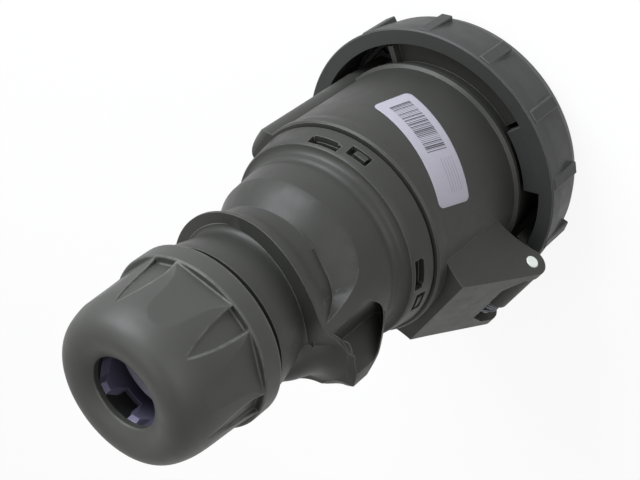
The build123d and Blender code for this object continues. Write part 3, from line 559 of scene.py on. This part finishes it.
def fin_bow_cutter(side):
    """Cutter beside the fin's crest: an upright prism whose inner face is half of a pointed bow."""
    levels = [np.stack([BOW_X, BOW_Y * side, np.full_like(BOW_X, z)], axis=-1) for z in BOW_LEVELS]
    ends = [np.tile((BOW_POLE[0], BOW_POLE[1] * side, z), (len(BOW_X), 1)) for z in BOW_LEVELS]
    return grid_mesh("fin_bow_cutter", np.stack([ends[0], *levels, ends[1]]))


# %% The trimmed handle
SHARP_ANGLE = 32
# In metres: points this close are one point, and edges this short are dissolved.
SAME_POINT, SHORTEST_EDGE = 1e-6, 2e-6


def one_closed_piece(mesh):
    """Joins points that coincide and keeps only the largest connected island of faces."""
    edit = bmesh.new()
    edit.from_mesh(mesh)
    bmesh.ops.remove_doubles(edit, verts=edit.verts, dist=SAME_POINT)
    bmesh.ops.dissolve_degenerate(edit, edges=edit.edges, dist=SHORTEST_EDGE)
    unseen, islands = set(edit.faces), []
    while unseen:
        island, border = [], [unseen.pop()]
        while border:
            face = border.pop()
            island.append(face)
            near = {other for edge in face.edges for other in edge.link_faces} & unseen
            unseen -= near
            border.extend(near)
        islands.append(island)
    islands.sort(key=len)
    loose = [face for island in islands[:-1] for face in island]
    bmesh.ops.delete(edit, geom=loose, context="FACES")
    open_edges = sum(1 for edge in edit.edges if len(edge.link_faces) != 2)
    edit.to_mesh(mesh)
    edit.free()
    print("islands:", [len(island) for island in islands], "open edges:", open_edges)


handle = bpy.data.objects.new("handle_clear_groove", nodes["handle"].data.copy())
bpy.context.scene.collection.objects.link(handle)
# The stored normals belong to the faces before the cuts; the copy gets its own.
if handle.data.attributes.get("custom_normal"):
    handle.data.attributes.remove(handle.data.attributes["custom_normal"])
one_closed_piece(handle.data)
cutters = [groove_cutter(1), groove_cutter(-1), fin_roof_cutter(), fin_bow_cutter(1), fin_bow_cutter(-1)]
for cutter in cutters:
    clearing = handle.modifiers.new("clearing", "BOOLEAN")
    clearing.operation, clearing.solver, clearing.object = "DIFFERENCE", "EXACT", cutter
cleared = bpy.data.meshes.new_from_object(handle.evaluated_get(bpy.context.evaluated_depsgraph_get()))
handle.modifiers.clear()
handle.data = cleared
one_closed_piece(cleared)
cleared.shade_smooth()
cleared.set_sharp_from_angle(angle=np.radians(SHARP_ANGLE))
for cutter in cutters:
    bpy.data.objects.remove(cutter)
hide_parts("handle")
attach(handle, "housing")
print("handle faces:", len(nodes["handle"].data.polygons), "before,", len(cleared.polygons), "after")

# %% [markdown]
# ## The label
# A paper label sticks to the barrel, turned a little against it. A flat plate would cut into a cylinder,
# so the label is worked out in its own flat millimetres and then rolled onto the barrel: distance along
# becomes an angle, distance across a height. Its rows run from the middle out to a rounded rectangle, over
# the thin edge and back underneath, which leaves a closed, very thin solid.

# %% The label's shape
BARREL_R = 37.3
# The label's size; then its place in degrees round Z, its height, and its turn in degrees.
LABEL_LENGTH, LABEL_WIDTH, LABEL_CORNER = 42.6, 15.2, 2.0
LABEL_ANGLE, LABEL_HEIGHT, LABEL_TILT = -91.6, 54.1, 14.85
PAPER, UNDERSIDE, BENT_EDGE = 0.12, 0.01, 0.03
ARC_POINTS, OUTLINE_POINTS, FLAT_ROWS = 64, 200, 15


def rounded_rectangle(length, width, corner, count):
    """Outline points at even steps along four quarter circles joined by straight sides."""
    turn = np.linspace(0, 2 * np.pi, ARC_POINTS, endpoint=False) + np.pi / ARC_POINTS
    x = corner * np.cos(turn) + np.sign(np.cos(turn)) * (length / 2 - corner)
    y = corner * np.sin(turn) + np.sign(np.sin(turn)) * (width / 2 - corner)
    x, y = np.append(x, x[0]), np.append(y, y[0])
    run = np.concatenate([[0], np.cumsum(np.hypot(np.diff(x), np.diff(y)))])
    steps = np.linspace(0, run[-1], count, endpoint=False)
    return np.stack([np.interp(steps, run, x), np.interp(steps, run, y)], axis=-1)


def label_points():
    """Rows of (share of the outline, height over the barrel), rolled on: angle = along / radius."""
    outline = rounded_rectangle(LABEL_LENGTH, LABEL_WIDTH, LABEL_CORNER, OUTLINE_POINTS)
    edge = BENT_EDGE / (LABEL_WIDTH / 2)
    # Out over the printed face, over the edge in three rows, and back along the glued underside.
    outwards = np.linspace(0, 1 - edge, FLAT_ROWS)
    share = np.concatenate([outwards, [1 - edge / 3, 1, 1], np.linspace(1 - edge, 0, FLAT_ROWS)])
    over_edge = [PAPER * 0.9, PAPER * 0.6, PAPER * 0.2]
    over = np.concatenate([np.full(FLAT_ROWS, PAPER), over_edge, np.full(FLAT_ROWS, UNDERSIDE)])
    flat = share[:, None, None] * outline[None]
    tilt = np.radians(LABEL_TILT)
    along = flat[..., 0] * np.cos(tilt) - flat[..., 1] * np.sin(tilt)
    up = flat[..., 0] * np.sin(tilt) + flat[..., 1] * np.cos(tilt)
    angle = np.radians(LABEL_ANGLE) - along / (BARREL_R + PAPER)
    radius = (BARREL_R + over)[:, None]
    points = np.stack([radius * np.cos(angle), radius * np.sin(angle), LABEL_HEIGHT + up], axis=-1)
    return points, flat


points, flat = label_points()
label = grid_mesh("label", points, flat)
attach(label, "housing")

# %% [markdown]
# ## The label's paper and print
# The print is generic: a block of bars and some thin rules. It follows the label's own flat millimetres,
# which the mesh carries as surface coordinates, so it stays crisp however the label is rolled. A bar is
# drawn where the remainder of length / pitch is below a share that a random value picks for that bar.

# %% The label's material
def within(tree, value, low, high):
    """1 where a value lies between two limits, else 0."""
    over = add(tree, "ShaderNodeMath", {"operation": "GREATER_THAN", 1: low}, {0: value})
    under = add(tree, "ShaderNodeMath", {"operation": "LESS_THAN", 1: high}, {0: value})
    both = {0: over.outputs[0], 1: under.outputs[0]}
    return add(tree, "ShaderNodeMath", {"operation": "MULTIPLY"}, both).outputs[0]


def window(tree, x, y, box):
    """1 inside a rectangle (x low, x high, y low, y high) of the flat label, else 0."""
    across, along = within(tree, x, *box[:2]), within(tree, y, *box[2:])
    return add(tree, "ShaderNodeMath", {"operation": "MULTIPLY"}, {0: across, 1: along}).outputs[0]


def striped(tree, value, pitch, low_share, high_share):
    """1 on stripes of a pitch; each stripe's share of the pitch is a random value between two shares."""
    count = add(tree, "ShaderNodeMath", {"operation": "DIVIDE", 1: pitch}, {0: value})
    number = add(tree, "ShaderNodeMath", {"operation": "FLOOR"}, {0: count.outputs[0]})
    rest = add(tree, "ShaderNodeMath", {"operation": "SUBTRACT"}, {0: count.outputs[0], 1: number.outputs[0]})
    chance = add(tree, "ShaderNodeTexWhiteNoise", {"noise_dimensions": "1D"}, {"W": number.outputs[0]})
    share = add(
        tree,
        "ShaderNodeMapRange",
        {"To Min": low_share, "To Max": high_share},
        {"Value": chance.outputs["Value"]},
    )
    sides = {0: rest.outputs[0], 1: share.outputs[0]}
    return add(tree, "ShaderNodeMath", {"operation": "LESS_THAN"}, sides).outputs[0]


# Boxes of the print in flat mm: x low, x high, y low, y high.
BARS_BOX, BAR_PITCH = (-17.7, 3.4, -4.6, 3.9), 0.62
RULES_BOX, RULE_PITCH = (6.2, 17.4, -5.2, 0.8), 1.2
# Coated paper, offset printed: grey with a violet cast, satin, with a faint fibre unevenness.
paper_material, tree, output = new_material("paper_coated_printed_label")
flat_place = add(tree, "ShaderNodeUVMap", {"uv_map": "flat"})
parts = add(tree, "ShaderNodeSeparateXYZ", {}, {0: flat_place.outputs[0]})
along, across = parts.outputs["X"], parts.outputs["Y"]
bars = add(
    tree,
    "ShaderNodeMath",
    {"operation": "MULTIPLY"},
    {0: striped(tree, along, BAR_PITCH, 0.2, 0.85), 1: window(tree, along, across, BARS_BOX)},
)
rules = add(
    tree,
    "ShaderNodeMath",
    {"operation": "MULTIPLY"},
    {0: striped(tree, across, RULE_PITCH, 0.16, 0.24), 1: window(tree, along, across, RULES_BOX)},
)
faint = add(tree, "ShaderNodeMath", {"operation": "MULTIPLY", 1: 0.45}, {0: rules.outputs[0]})
ink = add(tree, "ShaderNodeMath", {"operation": "MAXIMUM"}, {0: bars.outputs[0], 1: faint.outputs[0]})
place = add(tree, "ShaderNodeTexCoord").outputs["Object"]
fibre = add(tree, "ShaderNodeTexNoise", {"Scale": per_mm(1.1), "Detail": 6.0}, {"Vector": place})
pulp = add(
    tree,
    "ShaderNodeMix",
    {"data_type": "RGBA", 6: linear("#888690"), 7: linear("#94929b")},
    {0: fibre.outputs["Fac"]},
)
printed = add(
    tree,
    "ShaderNodeMix",
    {"data_type": "RGBA", 7: linear("#2b2a33")},
    {0: ink.outputs[0], 6: pulp.outputs[2]},
)
paper_bump = add(
    tree, "ShaderNodeBump", {"Strength": 0.3, "Distance": 0.008 * MM}, {"Height": fibre.outputs["Fac"]}
)
paper_gloss = add(
    tree,
    "ShaderNodeMapRange",
    {"From Min": 0.3, "From Max": 0.7, "To Min": 0.42, "To Max": 0.55},
    {"Value": fibre.outputs["Fac"]},
)
shader = add(
    tree,
    "ShaderNodeBsdfPrincipled",
    {"IOR": 1.5},
    {
        "Base Color": printed.outputs[2],
        "Roughness": paper_gloss.outputs[0],
        "Normal": paper_bump.outputs["Normal"],
    },
)
tree.links.new(shader.outputs[0], output.inputs["Surface"])
label.data.materials.append(paper_material)
print("label:", LABEL_LENGTH, "by", LABEL_WIDTH, "mm")

# %% [markdown]
# ## Size and close
# The last cell prints the CAD nodes that still have no material.

# %% List the nodes without a material
bare = [name for name, piece in nodes.items() if not piece.data.materials]
print("nodes without a material:", bare)
